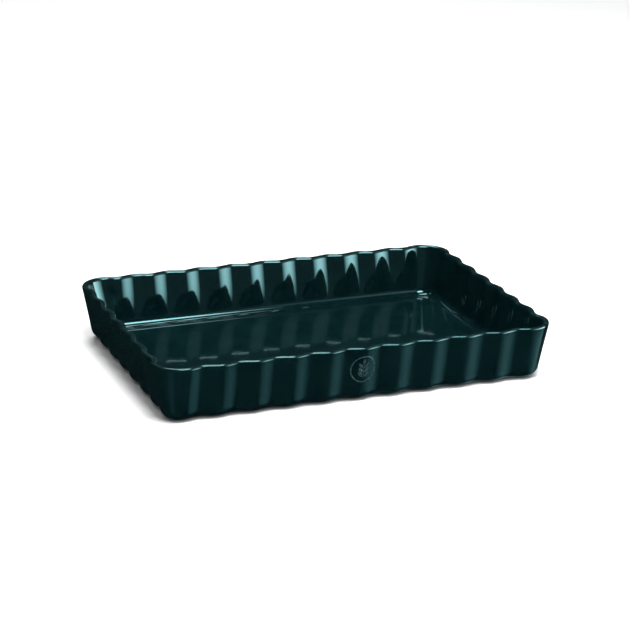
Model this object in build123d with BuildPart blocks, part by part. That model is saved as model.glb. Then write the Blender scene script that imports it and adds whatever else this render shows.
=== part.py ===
"""Rectangular fluted tart dish of glazed stoneware.

Frame: millimetres, origin at the centre of the face it stands on, +X along the long side,
+Z up, and the side with the round mark faces -Y.
"""

from build123d import *
from math import cos, radians, sin
import os

# Overall size, over the crests of the flutes just under the lip's rounding.
LENGTH = 335.0
WIDTH = 240.0
FOOT_HEIGHT = 1.3
BODY_HEIGHT = 46.4
LIP_RADIUS = 2.1
TOP = FOOT_HEIGHT + BODY_HEIGHT
WALL_TOP = TOP - LIP_RADIUS
WALL = 5.0

# The walls lean out: each side is this much further out under the lip than at the bottom.
END_LEAN = 8.6
SIDE_LEAN = 9.8
LIP_CORNER_RADIUS = 23.0
BASE_CORNER_RADIUS = 13.0
BOTTOM_EDGE_RADIUS = 7.0

# Flutes: troughs pressed in from the crest line, at the same places all the way down. The
# handle is the share of a half flute that its curve stays level for, which rounds it like a wave.
FLUTE_DEPTH = 3.0
SIDE_TROUGHS = 10
SIDE_OUTER_TROUGH = 131.8
END_TROUGHS = 7
END_OUTER_TROUGH = 86.0
WAVE_HANDLE = 0.3642

# Inside, the flutes fade out down to a cove that runs straight round a flat floor.
FLOOR = FOOT_HEIGHT + 4.7
FLOOR_HALF_X = 153.1
FLOOR_HALF_Y = 105.1
FLOOR_CORNER_RADIUS = 13.0
COVE_RADIUS = 5.5
ROUNDING_STEPS = 5
WALL_STEPS = 4

# Glaze coat.
GLAZE = 0.4

# Bare ring that the dish stands on.
FOOT_HALF_X = 146.0
FOOT_HALF_Y = 97.0
FOOT_CORNER_RADIUS = 16.0
FOOT_WIDTH = 5.0
FOOT_EDGE_RADIUS = 0.5

# Mark on the middle crest of the front wall: a slightly upright ring around an ear of wheat.
MARK_HEIGHT = FOOT_HEIGHT + 27.5
MARK_HALF_WIDTH = 10.6
MARK_HALF_HEIGHT = 11.7
MARK_STROKE = 1.0
MARK_THICKNESS = 0.2
MARK_REACH = 15.0
STEM_LENGTH = 16.0
STEM_WIDTH = 0.9
GRAIN_LENGTH = 5.4
GRAIN_WIDTH = 2.3
GRAIN_TILT = 36.0
GRAIN_OFFSET = 2.2
GRAIN_PAIRS = 3
GRAIN_SPACING = 3.6
LOWEST_GRAIN = -4.0


def fluted_side(half_run, troughs, outer_trough, depth):
    """Distance along the side and depth below the crest line, from end to end of one side."""
    half_pitch = outer_trough / (troughs - 1)
    points = [(-half_run, 0.0)]
    for step in range(2 * troughs - 1):
        is_trough = step % 2 == 0
        points.append((step * half_pitch - outer_trough, depth if is_trough else 0.0))
    points.append((half_run, 0.0))
    return points


def wavy_line(points):
    """S-shaped curves from each crest to the next trough and back, level at both."""
    for here, there in zip(points, points[1:]):
        step = Vector(there) - Vector(here)
        level = Vector(step.X, 0) if abs(step.X) > abs(step.Y) else Vector(0, step.Y)
        handle = level * WAVE_HANDLE
        Bezier(here, Vector(here) + handle, Vector(there) - handle, there)


def dish_outline(half_x, half_y, corner_radius, depth):
    """Edges of a rounded rectangle whose four sides are fluted by depth."""
    run_x = half_x - corner_radius
    run_y = half_y - corner_radius
    long_side = fluted_side(run_x, SIDE_TROUGHS, SIDE_OUTER_TROUGH, depth)
    short_side = fluted_side(run_y, END_TROUGHS, END_OUTER_TROUGH, depth)
    with BuildLine() as outline:
        wavy_line([(s, d - half_y) for s, d in long_side])
        CenterArc((run_x, -run_y), corner_radius, -90, 90)
        wavy_line([(half_x - d, s) for s, d in short_side])
        CenterArc((run_x, run_y), corner_radius, 0, 90)
        wavy_line([(-s, half_y - d) for s, d in long_side])
        CenterArc((-run_x, run_y), corner_radius, 90, 90)
        wavy_line([(d - half_x, -s) for s, d in short_side])
        CenterArc((-run_x, -run_y), corner_radius, 180, 90)
    return outline.edges()


def rounding(radius):
    """Steps of a quarter circle, as (distance out, distance up) from where it starts, upright."""
    angles = [radians(90 * step / ROUNDING_STEPS) for step in range(ROUNDING_STEPS + 1)]
    return [(radius * (1 - cos(angle)), radius * sin(angle)) for angle in angles]


def outside(skin):
    """Solid block with the outside shape of the dish, drawn in by skin all over."""
    bottom_edge = BOTTOM_EDGE_RADIUS - skin
    lip = LIP_RADIUS - skin
    levels = [(FOOT_HEIGHT + skin + bottom_edge - up, inset) for inset, up in rounding(bottom_edge)]
    levels.reverse()
    levels += [(TOP - skin - lip + up, inset) for inset, up in rounding(lip)]
    with BuildPart() as block:
        for height, inset in levels:
            drop = (WALL_TOP - height) / (WALL_TOP - FOOT_HEIGHT)
            corner = LIP_CORNER_RADIUS + (BASE_CORNER_RADIUS - LIP_CORNER_RADIUS) * drop
            outline = dish_outline(
                LENGTH / 2 - END_LEAN * drop - skin - inset,
                WIDTH / 2 - SIDE_LEAN * drop - skin - inset,
                corner - skin - inset,
                FLUTE_DEPTH,
            )
            with BuildSketch(Plane.XY.offset(height)):
                make_face(outline)
        loft(ruled=True)
    return block.part


def inside(skin):
    """Solid block with the shape of the hollow, grown by skin all over."""
    cove = COVE_RADIUS + skin
    lip = LIP_RADIUS - skin
    flutes_start = FLOOR + COVE_RADIUS
    flutes_run = WALL_TOP - flutes_start
    levels = [(FLOOR - skin + cove - up, inset) for inset, up in rounding(cove)]
    levels.reverse()
    levels += [(flutes_start + flutes_run * step / WALL_STEPS, 0) for step in range(1, WALL_STEPS)]
    levels += [(TOP - skin - lip + up, -inset) for inset, up in rounding(lip)]
    with BuildPart() as block:
        for height, inset in levels:
            rise = (height - FLOOR) / (WALL_TOP - FLOOR)
            half_x = FLOOR_HALF_X + (LENGTH / 2 - WALL - FLOOR_HALF_X) * rise
            half_y = FLOOR_HALF_Y + (WIDTH / 2 - WALL - FLOOR_HALF_Y) * rise
            corner = FLOOR_CORNER_RADIUS + (LIP_CORNER_RADIUS - WALL - FLOOR_CORNER_RADIUS) * rise
            fade = min(max((height - flutes_start) / flutes_run, 0.0), 1.0)
            depth = FLUTE_DEPTH * fade * (2 - fade)
            outline = dish_outline(
                half_x + skin - inset, half_y + skin - inset, corner + skin - inset, depth
            )
            with BuildSketch(Plane.XY.offset(height)):
                make_face(outline)
        loft(ruled=True)
    return block.part


def rounded_slab(inset, bottom, top):
    """Flat slab with the outline of the foot ring, drawn in by inset."""
    with BuildPart() as slab:
        with BuildSketch(Plane.XY.offset(bottom)):
            RectangleRounded(
                2 * (FOOT_HALF_X - inset), 2 * (FOOT_HALF_Y - inset), FOOT_CORNER_RADIUS - inset
            )
        extrude(amount=top - bottom)
    return slab.part


def mark_layer():
    """Thin layer at the front wall's surface, around the mark."""
    with BuildPart() as layer:
        add(glazed_block)
        add(outside(MARK_THICKNESS), mode=Mode.SUBTRACT)
        with Locations((0, -WIDTH / 2, MARK_HEIGHT)):
            Box(2 * MARK_REACH, 2 * MARK_REACH, 2 * MARK_REACH, mode=Mode.INTERSECT)
    return layer.part


glazed_block = outside(0.0)
glazed_hollow = inside(0.0)
clay_block = outside(GLAZE)
clay_hollow = inside(GLAZE)
clay_base = FOOT_HEIGHT + GLAZE
front = Plane(origin=(0, -WIDTH / 2, MARK_HEIGHT), x_dir=(1, 0, 0), z_dir=(0, -1, 0))
front_layer = mark_layer()

# The fired dish: fluted walls, lip and floor in one pressing, with the bare foot ring under it.
with BuildPart() as clay_body:
    add(rounded_slab(0.0, 0.0, clay_base + GLAZE))
    add(rounded_slab(FOOT_WIDTH, 0.0, clay_base), mode=Mode.SUBTRACT)
    fillet(clay_body.edges().group_by(Axis.Z)[0], radius=FOOT_EDGE_RADIUS)
    add(clay_block)
    add(clay_hollow, mode=Mode.SUBTRACT)

# Ring of the mark, wrapped over the crest of the flute.
with BuildPart() as roundel_ring:
    with BuildSketch(front):
        Ellipse(MARK_HALF_WIDTH, MARK_HALF_HEIGHT)
        Ellipse(MARK_HALF_WIDTH - MARK_STROKE, MARK_HALF_HEIGHT - MARK_STROKE, mode=Mode.SUBTRACT)
    extrude(amount=-MARK_REACH)
    add(front_layer, mode=Mode.INTERSECT)

# Ear of wheat inside the ring: a stem, pairs of leaning grains and one grain on top.
with BuildPart() as roundel_motif:
    with BuildSketch(front):
        Rectangle(STEM_WIDTH, STEM_LENGTH)
        for pair in range(GRAIN_PAIRS):
            for way in (-1, 1):
                with Locations((way * GRAIN_OFFSET, LOWEST_GRAIN + pair * GRAIN_SPACING)):
                    Ellipse(GRAIN_WIDTH / 2, GRAIN_LENGTH / 2, rotation=-way * GRAIN_TILT)
        with Locations((0, LOWEST_GRAIN + GRAIN_PAIRS * GRAIN_SPACING)):
            Ellipse(GRAIN_WIDTH / 2, GRAIN_LENGTH / 2)
    extrude(amount=-MARK_REACH)
    add(front_layer, mode=Mode.INTERSECT)

# Glaze over the hollow, the lip and the outside, as far as the foot ring.
with BuildPart() as glaze_coat:
    add(glazed_block)
    add(glazed_hollow, mode=Mode.SUBTRACT)
    add(rounded_slab(0.0, 0.0, clay_base), mode=Mode.SUBTRACT)
    add(clay_body.part, mode=Mode.SUBTRACT)
    add(roundel_ring.part, mode=Mode.SUBTRACT)
    add(roundel_motif.part, mode=Mode.SUBTRACT)

# Glaze on the underside, inside the foot ring.
with BuildPart() as underside_glaze:
    add(rounded_slab(FOOT_WIDTH, FOOT_HEIGHT, clay_base))

clay_body.part.label = "clay_body"
glaze_coat.part.label = "glaze_coat"
underside_glaze.part.label = "underside_glaze"
roundel_ring.part.label = "roundel_ring"
roundel_motif.part.label = "roundel_motif"

os.makedirs("parts", exist_ok=True)
export_step(clay_body.part, "parts/clay_body.step")
export_step(glaze_coat.part, "parts/glaze_coat.step")
export_step(underside_glaze.part, "parts/underside_glaze.step")
export_step(roundel_ring.part, "parts/roundel_ring.step")
export_step(roundel_motif.part, "parts/roundel_motif.step")
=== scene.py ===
"""Looks of the rectangular fluted tart dish: glaze, bare clay, printed mark, studio and camera."""

from math import ceil, cos, pi, radians, sin

import bpy
import numpy as np
from mathutils import Matrix, Vector


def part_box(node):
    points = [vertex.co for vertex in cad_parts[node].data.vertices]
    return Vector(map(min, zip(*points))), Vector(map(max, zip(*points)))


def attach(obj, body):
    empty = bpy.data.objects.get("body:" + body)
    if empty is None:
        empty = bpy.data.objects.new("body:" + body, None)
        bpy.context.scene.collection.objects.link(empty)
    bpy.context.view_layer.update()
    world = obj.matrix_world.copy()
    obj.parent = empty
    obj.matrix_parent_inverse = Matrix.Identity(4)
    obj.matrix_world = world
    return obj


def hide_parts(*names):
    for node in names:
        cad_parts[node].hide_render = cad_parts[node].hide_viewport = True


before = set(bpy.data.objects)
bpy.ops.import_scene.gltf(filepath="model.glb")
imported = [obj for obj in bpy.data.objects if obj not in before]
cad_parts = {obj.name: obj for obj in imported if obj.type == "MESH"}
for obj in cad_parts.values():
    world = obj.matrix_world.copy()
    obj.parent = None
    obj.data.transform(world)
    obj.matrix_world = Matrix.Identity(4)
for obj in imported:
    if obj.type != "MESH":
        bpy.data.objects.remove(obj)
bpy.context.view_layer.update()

MM = 0.001

# ---- The dish, in metres. Its overall sizes come from the frame ----

lowest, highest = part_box("glaze_coat")
HALF_X = highest.x
HALF_Y = highest.y
TOP = highest.z
BASE = lowest.z
LIP_RADIUS = 2.36 * MM
WALL = 5.0 * MM
WALL_TOP = TOP - LIP_RADIUS

# Each side is this much further out under the lip than at the bottom.
END_LEAN = 8.6 * MM
SIDE_LEAN = 9.8 * MM
LIP_CORNER = 23.0 * MM
BASE_CORNER = 13.0 * MM
SMALLEST_CORNER = 2.0 * MM
BOTTOM_EDGE = 7.0 * MM

FLUTE_DEPTH = 3.0 * MM
SIDE_TROUGHS = 10
SIDE_OUTER_TROUGH = 131.8 * MM
END_TROUGHS = 7
END_OUTER_TROUGH = 86.0 * MM

FLOOR = BASE + 4.7 * MM
FLOOR_HALF_X = 152.7 * MM
FLOOR_HALF_Y = 104.6 * MM
FLOOR_CORNER = 13.0 * MM
COVE = 5.5 * MM

# Where the coat ends, on the foot ring.
FOOT_HALF_X = 142.5 * MM
FOOT_HALF_Y = 93.5 * MM
FOOT_CORNER = 5.0 * MM
FOOT_BAND = 0.5 * MM

GLAZE = 0.35 * MM

# Points round a section, and sections along each stretch of the coat.
POINT_SPACING = 1.3 * MM
BASE_INSETS = (3.0 * MM, 1.0 * MM)
BOTTOM_EDGE_STEPS = 14
OUTER_WALL_STEPS = 12
LIP_STEPS = 8
INNER_WALL_STEPS = 14
COVE_STEPS = 14
FLOOR_INSETS = (1.0 * MM, 3.0 * MM, 8.0 * MM)


def flute(along, half_run, outer_trough, troughs):
    """1 in a trough, 0 on a crest and at the corner."""
    half_pitch = outer_trough / (troughs - 1)
    past = np.abs(along) - outer_trough
    inner = 0.5 * (1 + np.cos(pi * (along - outer_trough) / half_pitch))
    outer = 0.5 * (1 + np.cos(pi * np.clip(past / (half_run - outer_trough), 0, 1)))
    return np.where(past <= 0, inner, outer)


def perimeter():
    """The stations of a section: which side or corner, and how far along it."""
    side = ceil(2 * HALF_X / POINT_SPACING)
    end = ceil(2 * HALF_Y / POINT_SPACING)
    corner = ceil(LIP_CORNER * pi / 2 / POINT_SPACING)
    stations = []
    for quarter, count in enumerate((side, end, side, end)):
        stations += [(2 * quarter, t) for t in np.linspace(-1, 1, count, endpoint=False)]
        stations += [(2 * quarter + 1, t) for t in np.linspace(0, 1, corner, endpoint=False)]
    kinds, places = zip(*stations)
    return np.array(kinds), np.array(places)


def section(stations, half_x, half_y, corner, depth):
    """x and y of one closed section: a rounded rectangle whose sides are fluted by depth."""
    kinds, places = stations
    x = np.zeros(len(kinds))
    y = np.zeros(len(kinds))
    for quarter in range(4):
        is_long = quarter % 2 == 0
        reach, across = (half_x, half_y) if is_long else (half_y, half_x)
        outer_trough = SIDE_OUTER_TROUGH if is_long else END_OUTER_TROUGH
        troughs = SIDE_TROUGHS if is_long else END_TROUGHS
        turn = pi / 2 * quarter
        half_run = reach - corner

        on_side = kinds == 2 * quarter
        along = places[on_side] * half_run
        out = across - depth * flute(along, half_run, outer_trough, troughs)
        x[on_side] = along * cos(turn) + out * sin(turn)
        y[on_side] = along * sin(turn) - out * cos(turn)

        on_corner = kinds == 2 * quarter + 1
        angle = (places[on_corner] - 1) * pi / 2
        along = half_run + corner * np.cos(angle)
        out = across - corner - corner * np.sin(angle)
        x[on_corner] = along * cos(turn) + out * sin(turn)
        y[on_corner] = along * sin(turn) - out * cos(turn)
    return x, y


def outside_at(z, inset):
    """Half sizes, corner radius and flute depth of the outside at height z, drawn in by inset."""
    drop = (WALL_TOP - z) / (WALL_TOP - BASE)
    corner = LIP_CORNER + (BASE_CORNER - LIP_CORNER) * drop - inset
    half_x = HALF_X - END_LEAN * drop - inset
    half_y = HALF_Y - SIDE_LEAN * drop - inset
    return half_x, half_y, max(corner, SMALLEST_CORNER), FLUTE_DEPTH


def inside_at(z, inset):
    """The same for the inside, where the flutes fade out down to the cove."""
    rise = (z - FLOOR) / (WALL_TOP - FLOOR)
    corner = FLOOR_CORNER + (LIP_CORNER - WALL - FLOOR_CORNER) * rise - inset
    half_x = FLOOR_HALF_X + (HALF_X - WALL - FLOOR_HALF_X) * rise - inset
    half_y = FLOOR_HALF_Y + (HALF_Y - WALL - FLOOR_HALF_Y) * rise - inset
    flutes_start = FLOOR + COVE
    fade = min(max((z - flutes_start) / (WALL_TOP - flutes_start), 0.0), 1.0)
    return half_x, half_y, max(corner, SMALLEST_CORNER), FLUTE_DEPTH * (1 - (1 - fade) ** 3)


def foot_at(z, inset):
    """The same for the edge of the coat over the foot ring, which is the same at any height."""
    return FOOT_HALF_X - inset, FOOT_HALF_Y - inset, FOOT_CORNER - inset, 0.0


def coat_sections(skin):
    """Sections of the coat's surface, drawn into the clay by skin, from the foot to the floor."""
    edge = BOTTOM_EDGE - skin
    lip = LIP_RADIUS - skin
    cove = COVE + skin
    base = BASE + skin
    floor = FLOOR - skin
    rows = [(foot_at, base, 0.0), (foot_at, base, -FOOT_BAND)]
    for inset in BASE_INSETS:
        rows.append((outside_at, base, skin + edge + inset))
    for angle in np.linspace(0, pi / 2, BOTTOM_EDGE_STEPS):
        rows.append((outside_at, base + edge * (1 - cos(angle)), skin + edge * (1 - sin(angle))))
    for z in np.linspace(base + edge, WALL_TOP, OUTER_WALL_STEPS)[1:-1]:
        rows.append((outside_at, z, skin))
    for angle in np.linspace(0, pi / 2, LIP_STEPS):
        rows.append((outside_at, WALL_TOP + lip * sin(angle), skin + lip * (1 - cos(angle))))
    for angle in np.linspace(pi / 2, 0, LIP_STEPS):
        rows.append((inside_at, WALL_TOP + lip * sin(angle), -skin - lip * (1 - cos(angle))))
    for z in np.linspace(WALL_TOP, floor + cove, INNER_WALL_STEPS)[1:-1]:
        rows.append((inside_at, z, -skin))
    for angle in np.linspace(0, pi / 2, COVE_STEPS):
        rows.append((inside_at, floor + cove * (1 - sin(angle)), -skin + cove * (1 - cos(angle))))
    for inset in FLOOR_INSETS:
        rows.append((inside_at, floor, -skin + cove + inset))
    return rows


def section_points(stations, rows):
    """Vertices of the sections, row after row."""
    points = []
    for family, z, inset in rows:
        x, y = section(stations, *family(z, inset))
        points.append(np.column_stack([x, y, np.full(len(x), z)]))
    return np.vstack(points)


def mesh_piece(name, vertices, faces, material):
    """A new smooth-shaded object from vertices and faces, in the frame of the CAD."""
    mesh = bpy.data.meshes.new(name)
    mesh.from_pydata([tuple(vertex) for vertex in vertices], [], faces)
    mesh.validate()
    mesh.polygons.foreach_set("use_smooth", [True] * len(mesh.polygons))
    mesh.update()
    piece = bpy.data.objects.new(name, mesh)
    bpy.context.scene.collection.objects.link(piece)
    mesh.materials.append(material)
    return piece


def strips(count, rows, first):
    """Quads between neighbouring closed rows of count points."""
    faces = []
    for row in range(rows - 1):
        here = first + row * count
        there = here + count
        for i in range(count):
            after = (i + 1) % count
            faces.append((here + i, here + after, there + after, there + i))
    return faces


def glaze_coat(material):
    """The coat as a closed shell: its gloss surface, its back on the clay, and the wiped edge."""
    stations = perimeter()
    count = len(stations[0])
    face_rows = coat_sections(0.0)
    back_rows = coat_sections(GLAZE)
    rows = len(face_rows)
    vertices = np.vstack([section_points(stations, face_rows), section_points(stations, back_rows)])
    faces = strips(count, rows, 0)
    faces.append(tuple(range((rows - 1) * count, rows * count)))
    back = strips(count, rows, rows * count)
    back.append(tuple(range((2 * rows - 1) * count, 2 * rows * count)))
    faces += [tuple(reversed(face)) for face in back]
    for i in range(count):
        after = (i + 1) % count
        faces.append((i, rows * count + i, rows * count + after, after))
    return mesh_piece("dish_glaze", vertices, faces, material)


# ---- The mark: a ring around an ear of wheat, on the middle crest of the front wall ----

MARK_Z = BASE + 27.5 * MM
MARK_HALF_WIDTH = 10.6 * MM
MARK_HALF_HEIGHT = 11.7 * MM
MARK_STROKE = 1.05 * MM
MARK_LIFT = 0.04 * MM
MARK_DEPTH = 0.12 * MM
RING_POINTS = 120
STROKE_POINTS = 4

STEM_LENGTH = 17.0 * MM
STEM_WIDTH = 0.9 * MM
GRAIN_LENGTH = 5.8 * MM
GRAIN_WIDTH = 2.4 * MM
GRAIN_TILT = 38
GRAIN_OFFSET = 2.5 * MM
GRAIN_PAIRS = 3
GRAIN_SPACING = 3.8 * MM
LOWEST_GRAIN = -4.3 * MM

# A grain's shape: a lower power is fuller. Its tips keep a little width, and it narrows upwards.
GRAIN_POWER = 0.75
GRAIN_TIP = 0.02
GRAIN_TAPER = 0.18
GRAIN_POINTS_ALONG = 15
GRAIN_POINTS_ACROSS = 5


def front_wall(x, z):
    """y of the outside of the front wall."""
    half_x, half_y, corner, depth = outside_at(z, 0.0)
    return -half_y + depth * float(flute(x, half_x - corner, SIDE_OUTER_TROUGH, SIDE_TROUGHS))


def patch_border(rows, columns, is_ring):
    """Edges round a grid's points, numbered row after row. A ring has only an inner and an outer."""
    last = columns if is_ring else columns - 1
    top_row = (rows - 1) * columns
    edges = [((column + 1) % columns, column) for column in range(last)]
    edges += [(top_row + column, top_row + (column + 1) % columns) for column in range(last)]
    if not is_ring:
        edges += [(row * columns, (row + 1) * columns) for row in range(rows - 1)]
        edges += [((row + 2) * columns - 1, (row + 1) * columns - 1) for row in range(rows - 1)]
    return edges


def wall_patches(name, patches, material):
    """Thin closed layers on the front wall, each from a grid of (x, height above the mark)."""
    vertices = []
    faces = []
    for grid, is_ring in patches:
        rows, columns, _ = grid.shape
        first = len(vertices)
        behind = rows * columns
        for lift in (MARK_LIFT, MARK_LIFT - MARK_DEPTH):
            for x, up in grid.reshape(-1, 2):
                vertices.append((x, front_wall(x, MARK_Z + up) - lift, MARK_Z + up))
        for row in range(rows - 1):
            for column in range(columns if is_ring else columns - 1):
                a = first + row * columns + column
                b = first + row * columns + (column + 1) % columns
                c = b + columns
                d = a + columns
                faces.append((a, b, c, d))
                faces.append((d + behind, c + behind, b + behind, a + behind))
        for start, end in patch_border(rows, columns, is_ring):
            a, b = first + start, first + end
            faces.append((a, b, b + behind, a + behind))
    return mesh_piece(name, vertices, faces, material)


def ring_patch():
    """Grid of the ring, from its inner edge to its outer edge."""
    angles = np.linspace(0, 2 * pi, RING_POINTS, endpoint=False)
    inward = np.linspace(MARK_STROKE, 0, STROKE_POINTS)[:, None]
    grid = np.zeros((STROKE_POINTS, RING_POINTS, 2))
    grid[..., 0] = (MARK_HALF_WIDTH - inward) * np.cos(angles)
    grid[..., 1] = (MARK_HALF_HEIGHT - inward) * np.sin(angles)
    return grid, True


def grain_patch(x, up, length, width, tilt):
    """Grid of a grain: pointed at both ends, widest just below the middle."""
    along = np.linspace(-1, 1, GRAIN_POINTS_ALONG)
    across = np.linspace(-1, 1, GRAIN_POINTS_ACROSS)
    outline = np.maximum(np.cos(along * pi / 2) ** GRAIN_POWER, GRAIN_TIP)
    half = width / 2 * outline * (1 - GRAIN_TAPER * along)
    lengthwise = (along * length / 2)[None, :].repeat(len(across), 0)
    sideways = across[:, None] * half[None, :]
    turn = radians(tilt)
    grid = np.zeros((len(across), len(along), 2))
    grid[..., 0] = x + lengthwise * sin(turn) - sideways * cos(turn)
    grid[..., 1] = up + lengthwise * cos(turn) + sideways * sin(turn)
    return grid, False


def wheat_patches():
    """The stem, the pairs of leaning grains and the grain on top."""
    patches = [grain_patch(0, 0, STEM_LENGTH, STEM_WIDTH, 0)]
    for pair in range(GRAIN_PAIRS):
        up = LOWEST_GRAIN + GRAIN_SPACING * pair
        for way in (-1, 1):
            patches.append(
                grain_patch(way * GRAIN_OFFSET, up, GRAIN_LENGTH, GRAIN_WIDTH, way * GRAIN_TILT)
            )
    up = LOWEST_GRAIN + GRAIN_SPACING * GRAIN_PAIRS
    patches.append(grain_patch(0, up, GRAIN_LENGTH, GRAIN_WIDTH, 0))
    return patches


# ---- Materials. Colours are linear red, green and blue ----

GLAZE_DARK = (0.0009, 0.0058, 0.0067)
GLAZE_LIGHT = (0.0017, 0.0083, 0.0092)
GLAZE_THIN_ON_LIP = (0.010, 0.021, 0.020)
GLAZE_THIN_AT_FOOT = (0.020, 0.024, 0.021)
GLAZE_FRECKLE = (0.004, 0.016, 0.017)
GLAZE_REFLECTION = (0.40, 0.95, 1.0)
CLAY_DARK = (0.47, 0.36, 0.26)
CLAY_LIGHT = (0.60, 0.48, 0.36)
CLAY_IRON = (0.20, 0.12, 0.075)
CLAY_WORN = (0.33, 0.29, 0.25)
INK_DARK = (0.0135, 0.0290, 0.0310)
INK_LIGHT = (0.0190, 0.0380, 0.0400)
INK_GAP = (0.0030, 0.0110, 0.0125)

# The share of a speck's radius that has its full strength.
SPECK_CORE = 0.4


def new_material(name):
    """A material with nodes, and its node tree."""
    material = bpy.data.materials.new(name)
    material.use_nodes = True
    return material, material.node_tree


def feed(tree, value, socket):
    """Gives a socket the output of another node, a colour or a number."""
    if isinstance(value, bpy.types.NodeSocket):
        tree.links.new(value, socket)
    elif isinstance(value, tuple):
        socket.default_value = (*value, 1)
    else:
        socket.default_value = value


def node(tree, kind, **inputs):
    """A node with its inputs fed by name."""
    made = tree.nodes.new(kind)
    for name, value in inputs.items():
        feed(tree, value, made.inputs[name.replace("_", " ")])
    return made


def place(tree):
    """Where a point is, in metres, in the frame that the pieces are made in."""
    return tree.nodes.new("ShaderNodeTexCoord").outputs["Object"]


def height_of_point(tree):
    """Height of a point, in metres."""
    return node(tree, "ShaderNodeSeparateXYZ", Vector=place(tree)).outputs["Z"]


def cloud(tree, scale, detail, roughness=0.5):
    """Smooth noise from 0 to 1, scale features to the metre."""
    made = node(
        tree, "ShaderNodeTexNoise",
        Vector=place(tree), Scale=scale, Detail=detail, Roughness=roughness,
    )
    return made.outputs["Fac"]


def between(tree, value, span, result=(0.0, 1.0)):
    """value, led smoothly from span to result and held at its ends."""
    (low, low_result), (high, high_result) = sorted(zip(span, result))
    ramp = node(
        tree, "ShaderNodeMapRange",
        Value=value, From_Min=low, From_Max=high, To_Min=low_result, To_Max=high_result,
    )
    ramp.interpolation_type = "SMOOTHSTEP"
    return ramp.outputs["Result"]


def specks(tree, scale, radius):
    """1 at scattered points, 0 beyond radius, the share of a cell that a speck reaches."""
    cells = node(tree, "ShaderNodeTexVoronoi", Vector=place(tree), Scale=scale, Randomness=1.0)
    return between(tree, cells.outputs["Distance"], (radius, SPECK_CORE * radius))


def blend(tree, share, first, second):
    """Colour from first to second by share. Each is a colour or the output of another node."""
    mix = tree.nodes.new("ShaderNodeMix")
    mix.data_type = "RGBA"
    feed(tree, share, mix.inputs["Factor"])
    colour_sockets = [socket for socket in mix.inputs if socket.type == "RGBA"]
    for colour, socket in zip((first, second), colour_sockets):
        feed(tree, colour, socket)
    return next(socket for socket in mix.outputs if socket.type == "RGBA")


def product(tree, first, second):
    """first times second. Each is a number or the output of another node."""
    made = tree.nodes.new("ShaderNodeMath")
    made.operation = "MULTIPLY"
    feed(tree, first, made.inputs[0])
    feed(tree, second, made.inputs[1])
    return made.outputs["Value"]


def bumps(tree, layers):
    """Normal of a surface raised by layers of (pattern, metres)."""
    normal = None
    for pattern, metres in layers:
        bump = node(tree, "ShaderNodeBump", Height=pattern, Strength=1.0, Distance=metres)
        if normal:
            feed(tree, normal, bump.inputs["Normal"])
        normal = bump.outputs["Normal"]
    return normal


def finish(tree, colour, roughness, layers):
    """Joins colour, roughness and bumps to the material's shader, and gives the shader."""
    shader = tree.nodes["Principled BSDF"]
    feed(tree, colour, shader.inputs["Base Color"])
    feed(tree, roughness, shader.inputs["Roughness"])
    feed(tree, bumps(tree, layers), shader.inputs["Normal"])
    return shader


def glaze_material():
    """Dark teal gloss glaze: mottled, a little wavy, thin and paler on the lip and at the foot."""
    material, tree = new_material("teal_glaze")
    mottle = between(tree, cloud(tree, scale=45, detail=6, roughness=0.6), (0.35, 0.65))
    colour = blend(tree, mottle, GLAZE_DARK, GLAZE_LIGHT)
    lip = between(tree, height_of_point(tree), (TOP - 1.5 * MM, TOP - 0.3 * MM))
    foot = between(tree, height_of_point(tree), (BASE + 1.2 * MM, BASE))
    patchy = between(tree, cloud(tree, scale=160, detail=3), (0.4, 0.7), (0.15, 0.75))
    colour = blend(tree, product(tree, lip, patchy), colour, GLAZE_THIN_ON_LIP)
    colour = blend(tree, product(tree, foot, patchy), colour, GLAZE_THIN_AT_FOOT)
    freckles = specks(tree, scale=90, radius=0.035)
    colour = blend(tree, freckles, colour, GLAZE_FRECKLE)
    roughness = between(tree, cloud(tree, scale=220, detail=4), (0.3, 0.7), (0.035, 0.075))
    shader = finish(tree, colour, roughness, (
        (cloud(tree, scale=28, detail=2), 0.14 * MM),
        (cloud(tree, scale=300, detail=2), 0.002 * MM),
        (freckles, -0.02 * MM),
    ))
    feed(tree, GLAZE_REFLECTION, shader.inputs["Specular Tint"])
    return material


def clay_material():
    """Fired buff stoneware: specked with iron, sandy, rubbed smooth and grey where it stands."""
    material, tree = new_material("bare_clay")
    tone = between(tree, cloud(tree, scale=60, detail=6, roughness=0.65), (0.3, 0.7))
    colour = blend(tree, tone, CLAY_DARK, CLAY_LIGHT)
    iron = specks(tree, scale=700, radius=0.22)
    colour = blend(tree, iron, colour, CLAY_IRON)
    rubbed = between(tree, height_of_point(tree), (0.35 * MM, 0.05 * MM))
    patchy = between(tree, cloud(tree, scale=90, detail=4), (0.4, 0.65), (0.1, 0.8))
    worn = product(tree, rubbed, patchy)
    colour = blend(tree, worn, colour, CLAY_WORN)
    roughness = between(tree, worn, (0.0, 1.0), (0.9, 0.62))
    finish(tree, colour, roughness, (
        (cloud(tree, scale=900, detail=5, roughness=0.7), 0.12 * MM),
        (iron, 0.03 * MM),
    ))
    return material


def transfer_material():
    """Grey-green print under the gloss: slightly uneven ink, with tiny gaps."""
    material, tree = new_material("grey_transfer")
    ink = between(tree, cloud(tree, scale=900, detail=4, roughness=0.6), (0.35, 0.65))
    colour = blend(tree, ink, INK_DARK, INK_LIGHT)
    gaps = specks(tree, scale=1500, radius=0.18)
    colour = blend(tree, gaps, colour, INK_GAP)
    roughness = between(tree, cloud(tree, scale=600, detail=3), (0.3, 0.7), (0.20, 0.34))
    shader = finish(tree, colour, roughness, (
        (cloud(tree, scale=1400, detail=3), 0.004 * MM),
        (gaps, -0.01 * MM),
    ))
    feed(tree, GLAZE_REFLECTION, shader.inputs["Specular Tint"])
    return material


glaze = glaze_material()
clay = clay_material()
transfer = transfer_material()

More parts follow.
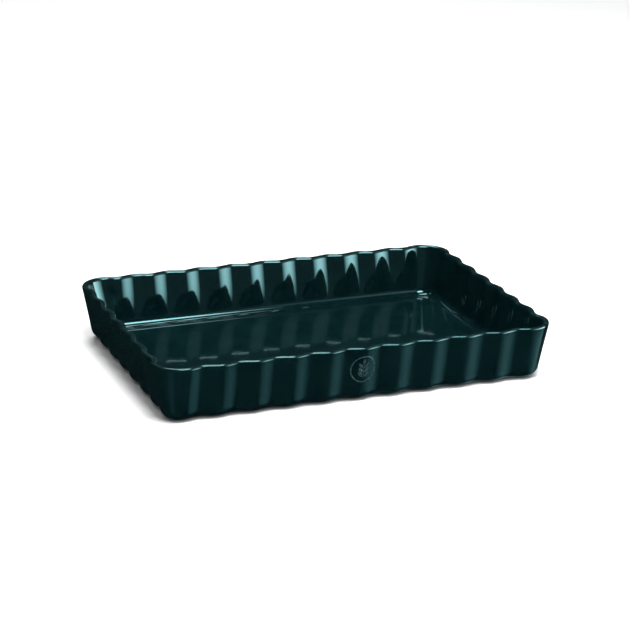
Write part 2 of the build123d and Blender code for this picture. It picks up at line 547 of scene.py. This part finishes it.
coat = glaze_coat(glaze)
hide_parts("glaze_coat")
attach(coat, "root")

ring = wall_patches("mark_ring", [ring_patch()], transfer)
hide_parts("roundel_ring")
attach(ring, "root")

wheat = wall_patches("mark_wheat", wheat_patches(), transfer)
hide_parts("roundel_motif")
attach(wheat, "root")

for cad_name, cad_material in (("clay_body", clay), ("underside_glaze", glaze)):
    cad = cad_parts[cad_name]
    cad.data.materials.clear()
    cad.data.materials.append(cad_material)

# ---- Studio: a white floor, a dim world, and soft boxes that the camera doesn't see ----

FLOOR_SIZE = 12.0
FLOOR_COLOUR = (0.85, 0.85, 0.85)
WORLD_LIGHT = 0.02
WORLD_COLOUR = (0.5, 0.9, 1.0)
WHITE = (1.0, 1.0, 1.0)
PALE_CYAN = (0.5, 0.9, 0.95)
OVERHEAD_X = 0.07
OVERHEAD_HEIGHT = 1.6


def plane(name, width, height, matrix, material):
    """A flat rectangle of the studio. It faces along its own +Z."""
    mesh = bpy.data.meshes.new(name)
    x, y = width / 2, height / 2
    mesh.from_pydata([(-x, -y, 0), (x, -y, 0), (x, y, 0), (-x, y, 0)], [], [(0, 1, 2, 3)])
    mesh.materials.append(material)
    made = bpy.data.objects.new(name, mesh)
    made.matrix_world = matrix
    bpy.context.scene.collection.objects.link(made)
    return made


def floor_plane():
    """The matt floor, which the gloss of the dish doesn't mirror."""
    material, tree = new_material("studio_floor")
    shader = tree.nodes["Principled BSDF"]
    feed(tree, FLOOR_COLOUR, shader.inputs["Base Color"])
    feed(tree, 1.0, shader.inputs["Roughness"])
    feed(tree, 0.0, shader.inputs["Specular IOR Level"])
    made = plane("studio_floor", FLOOR_SIZE, FLOOR_SIZE, Matrix.Identity(4), material)
    made.visible_glossy = False


def soft_edges(tree, coordinate, low, high):
    """1 inside, falling smoothly to 0 over low and high, the shares at either end."""
    rising = between(tree, coordinate, (0.0, low))
    falling = between(tree, coordinate, (1.0, 1.0 - high))
    return product(tree, rising, falling)


def soft_box(
    name, width, height, matrix, light, across, upward, colour=WHITE, shines=True, mirrored=True
):
    """A panel of light with soft edges: across and upward are the soft shares at either end.

    It lights matt surfaces if it shines, and it shows in gloss if it is mirrored.
    """
    material, tree = new_material(name)
    tree.nodes.remove(tree.nodes["Principled BSDF"])
    panel = tree.nodes.new("ShaderNodeTexCoord").outputs["Generated"]
    split = node(tree, "ShaderNodeSeparateXYZ", Vector=panel)
    falloff = product(
        tree,
        soft_edges(tree, split.outputs["X"], *across),
        soft_edges(tree, split.outputs["Y"], *upward),
    )
    strength = product(tree, falloff, light)
    emission = node(tree, "ShaderNodeEmission", Color=colour, Strength=strength)
    feed(tree, emission.outputs["Emission"], tree.nodes["Material Output"].inputs["Surface"])
    made = plane(name, width, height, matrix, material)
    made.visible_camera = False
    made.visible_shadow = False
    made.visible_diffuse = shines
    made.visible_glossy = mirrored


def facing_dish(azimuth, elevation, distance):
    """Matrix of a panel in that direction from the dish, facing it. Azimuth 0 is in front of it."""
    turn, rise = radians(azimuth), radians(elevation)
    out = Vector((sin(turn) * cos(rise), -cos(turn) * cos(rise), sin(rise)))
    return Matrix.Translation(out * distance) @ out.to_track_quat("Z", "Y").to_matrix().to_4x4()


def overhead(y):
    """Matrix of a panel above the dish that faces straight down."""
    return Matrix.Translation((OVERHEAD_X, y, OVERHEAD_HEIGHT)) @ Matrix.Rotation(pi, 4, "X")


bpy.context.scene.view_settings.view_transform = "Standard"
world = bpy.data.worlds.new("studio")
bpy.context.scene.world = world
world.use_nodes = True
world.node_tree.nodes["Background"].inputs["Color"].default_value = (*WORLD_COLOUR, 1)
world.node_tree.nodes["Background"].inputs["Strength"].default_value = WORLD_LIGHT

floor_plane()

# The bright columns inside the back wall.
soft_box(
    "key_light", width=2.1, height=1.3, matrix=facing_dish(54, 9, 1.6), light=15.0,
    across=(0.75, 0.15), upward=(0.15, 0.35), shines=False,
)
soft_box(
    "fill_light", width=1.7, height=1.1, matrix=facing_dish(50, 42, 1.6), light=1.4,
    across=(0.5, 0.3), upward=(0.4, 0.4), shines=False,
)

# The highlights along the lip and the cove, and most of the light on the studio floor.
soft_box(
    "overhead_front", width=1.1, height=0.9, matrix=overhead(-0.62), light=24.0,
    across=(0.2, 0.2), upward=(0.3, 0.3),
)
soft_box(
    "overhead_back", width=1.1, height=1.0, matrix=overhead(0.75), light=14.0,
    across=(0.2, 0.2), upward=(0.3, 0.3),
)

# Even light on the studio floor, all round.
soft_box(
    "ambient_light", width=5.5, height=4.5, matrix=facing_dish(8, 60, 2.4), light=1.7,
    across=(0.2, 0.2), upward=(0.2, 0.2), mirrored=False,
)

# Beads of light on the lips of the two ends, and a faint gleam between the bright columns.
soft_box(
    "rim_light", width=0.3, height=0.16, matrix=facing_dish(169, 27.5, 1.6), light=1.5,
    across=(0.3, 0.3), upward=(0.4, 0.4), shines=False,
)
soft_box(
    "front_light", width=3.0, height=0.9, matrix=facing_dish(0, 13, 1.6), light=0.16,
    across=(0.3, 0.3), upward=(0.3, 0.3), shines=False,
)

# Glows from below, as off a lit table: the bands on the outer walls.
soft_box(
    "table_glow_61", width=1.8, height=0.8, matrix=facing_dish(61, -36, 1.5), light=1.0,
    across=(0.8, 0.2), upward=(0.3, 0.3), colour=PALE_CYAN, shines=False,
)
soft_box(
    "table_glow_minus_60", width=1.0, height=0.8, matrix=facing_dish(-60, -36, 1.5), light=0.25,
    across=(0.5, 0.5), upward=(0.3, 0.3), colour=PALE_CYAN, shines=False,
)
soft_box(
    "table_glow_125", width=1.3, height=0.8, matrix=facing_dish(125, -36, 1.5), light=0.8,
    across=(0.5, 0.5), upward=(0.3, 0.3), colour=PALE_CYAN, shines=False,
)

# ---- Camera: from the front left, a little above, with a long lens ----

AZIMUTH = radians(-21.2)
ELEVATION = radians(18.92)
ROLL = radians(0.8)
DISTANCE = 1.881
LENS = 129.9
SENSOR_WIDTH = 36
TARGET = Vector((3.6 * MM, 0, BASE + 34.35 * MM))

view_back = Vector((
    sin(AZIMUTH) * cos(ELEVATION),
    -cos(AZIMUTH) * cos(ELEVATION),
    sin(ELEVATION),
))
level_right = (-view_back).cross(Vector((0, 0, 1))).normalized()
level_up = level_right.cross(-view_back)
view_right = level_right * cos(ROLL) + level_up * sin(ROLL)
view_up = level_up * cos(ROLL) - level_right * sin(ROLL)

camera_data = bpy.data.cameras.new("camera")
camera_data.lens = LENS
camera_data.sensor_width = SENSOR_WIDTH
camera = bpy.data.objects.new("camera", camera_data)
bpy.context.scene.collection.objects.link(camera)
camera.matrix_world = Matrix.Translation(TARGET + view_back * DISTANCE) @ Matrix(
    (view_right, view_up, view_back)
).transposed().to_4x4()
bpy.context.scene.camera = camera
